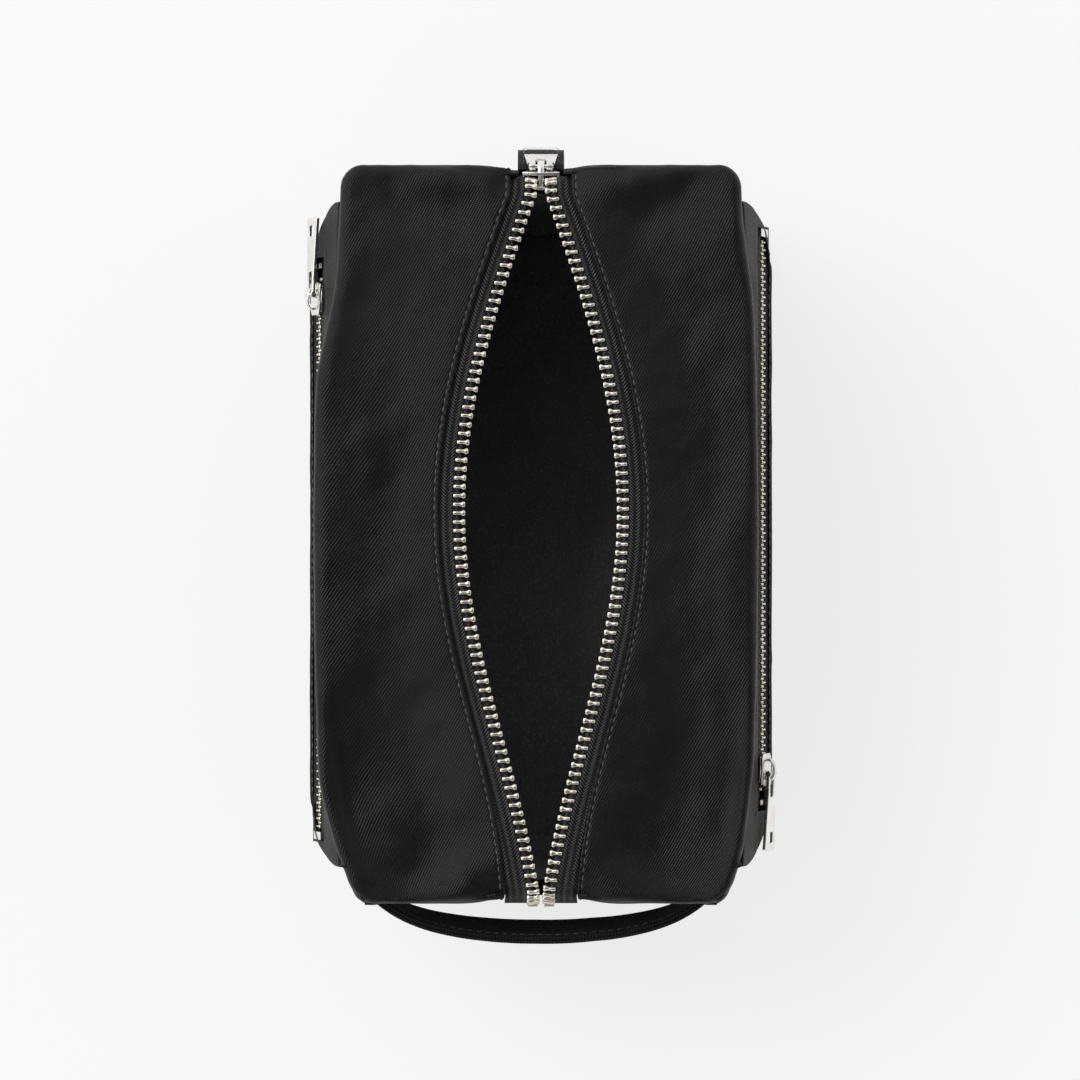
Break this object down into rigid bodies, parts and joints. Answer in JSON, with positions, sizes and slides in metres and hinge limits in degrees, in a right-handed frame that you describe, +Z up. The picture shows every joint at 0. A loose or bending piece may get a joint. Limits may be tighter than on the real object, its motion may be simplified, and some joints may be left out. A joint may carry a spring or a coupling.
{
  "type": "hanging toiletry bag",
  "caption": "Box-shaped black nylon toiletry bag with a lengthwise metal zip over both ends, side pockets with metal zips, a strap handle on one end and a pull tab on the other.",
  "frame": {"origin": "middle of the base, on the surface the bag stands on", "axes": "+Z up, +Y towards the end where the main zip starts, +X to the right seen from above"},
  "size_m": [0.1472, 0.2479, 0.125],
  "materials": {
    "shell_fabric": "black woven nylon with a fine diagonal twill",
    "strap": "black webbing folded and stitched",
    "zip_tape": "black herringbone woven tape",
    "lining": "smooth charcoal lining cloth",
    "padding": "closed-cell foam padding",
    "board": "thin stiffening board",
    "zip_metal": "bright nickel-plated zip metal with a warm tone"
  },
  "bodies": {
    "bag": {"base_panel": "shell_fabric", "base_board": "board", "base_lining": "lining", "side_panel_left": "shell_fabric", "foam_left": "padding", "lining_left": "lining", "top_panel_left": "shell_fabric", "side_panel_right": "shell_fabric", "foam_right": "padding", "lining_right": "lining", "top_panel_right": "shell_fabric", "end_panel_far": "shell_fabric", "foam_far": "padding", "lining_far": "lining", "end_panel_near": "shell_fabric", "foam_near": "padding", "lining_near": "lining", "main_bottom_stop": "zip_metal", "main_top_stops": "zip_metal", "far_tab": "strap", "handle_inner": "strap", "handle_outer": "strap", "pocket_panel_left": "shell_fabric", "pocket_facing_left": "shell_fabric", "pocket_tape_lower_left": "zip_tape", "pocket_tape_upper_left": "zip_tape", "pocket_teeth_lower_left": "zip_metal", "pocket_teeth_upper_left": "zip_metal", "pocket_stops_left": "zip_metal", "pocket_panel_right": "shell_fabric", "pocket_facing_right": "shell_fabric", "pocket_tape_lower_right": "zip_tape", "pocket_tape_upper_right": "zip_tape", "pocket_teeth_lower_right": "zip_metal", "pocket_teeth_upper_right": "zip_metal", "pocket_stops_right": "zip_metal"},
    "mouth_left": {"main_tape_left": "zip_tape", "main_teeth_left": "zip_metal"},
    "mouth_right": {"main_tape_right": "zip_tape", "main_teeth_right": "zip_metal"},
    "slider_pin": {"main_slider_pin": "zip_metal"},
    "slider": {"main_slider": "zip_metal"},
    "puller": {"main_puller": "zip_metal"},
    "pocket_slider_left": {"pocket_slider_left": "zip_metal"},
    "pocket_puller_left": {"pocket_puller_left": "zip_metal"},
    "pocket_slider_right": {"pocket_slider_right": "zip_metal"},
    "pocket_puller_right": {"pocket_puller_right": "zip_metal"}
  },
  "joints": [
    {"name": "main_zip", "type": "slide", "parent": "bag", "child": "slider_pin", "axis": [0, -0.9996, 0.0289], "range_m": [0, 0.22824]},
    {"name": "main_slider_tip", "type": "hinge", "parent": "slider_pin", "child": "slider", "pos_m": [0, 0.11334, 0.11559], "axis": [1, 0, 0], "range_deg": [0, 130]},
    {"name": "main_pull", "type": "hinge", "parent": "slider", "child": "puller", "pos_m": [0, 0.11334, 0.11559], "axis": [1, 0, 0], "range_deg": [0, 160]},
    {"name": "mouth_left_close", "type": "slide", "parent": "bag", "child": "mouth_left", "axis": [0.9744, 0, -0.2247], "range_m": [0, 0.02448], "deforming": ["main_tape_left", "main_teeth_left"]},
    {"name": "mouth_right_close", "type": "slide", "parent": "bag", "child": "mouth_right", "axis": [-0.9744, 0, -0.2247], "range_m": [0, 0.02448], "deforming": ["main_tape_right", "main_teeth_right"]},
    {"name": "pocket_zip_right", "type": "slide", "parent": "bag", "child": "pocket_slider_right", "axis": [0, 1, 0], "range_m": [0, 0.155], "deforming": ["pocket_teeth_lower_right", "pocket_teeth_upper_right", "pocket_tape_lower_right", "pocket_tape_upper_right"]},
    {"name": "pocket_pull_right", "type": "hinge", "parent": "pocket_slider_right", "child": "pocket_puller_right", "pos_m": [0.07159, -0.0745, 0.1049], "axis": [-0.4226, 0, 0.9063], "range_deg": [0, 165]},
    {"name": "pocket_zip_left", "type": "slide", "parent": "bag", "child": "pocket_slider_left", "axis": [0, -1, 0], "range_m": [0, 0.155], "deforming": ["pocket_teeth_lower_left", "pocket_teeth_upper_left", "pocket_tape_lower_left", "pocket_tape_upper_left"]},
    {"name": "pocket_pull_left", "type": "hinge", "parent": "pocket_slider_left", "child": "pocket_puller_left", "pos_m": [-0.07159, 0.0745, 0.1049], "axis": [0.4226, 0, 0.9063], "range_deg": [0, 165]}
  ],
  "couplings": [
    {"joint": "main_slider_tip", "follows": "main_zip", "rad_per_m": 9.9409},
    {"joint": "mouth_left_close", "follows": "main_zip", "ratio": 0.10725},
    {"joint": "mouth_right_close", "follows": "main_zip", "ratio": 0.10725}
  ]
}
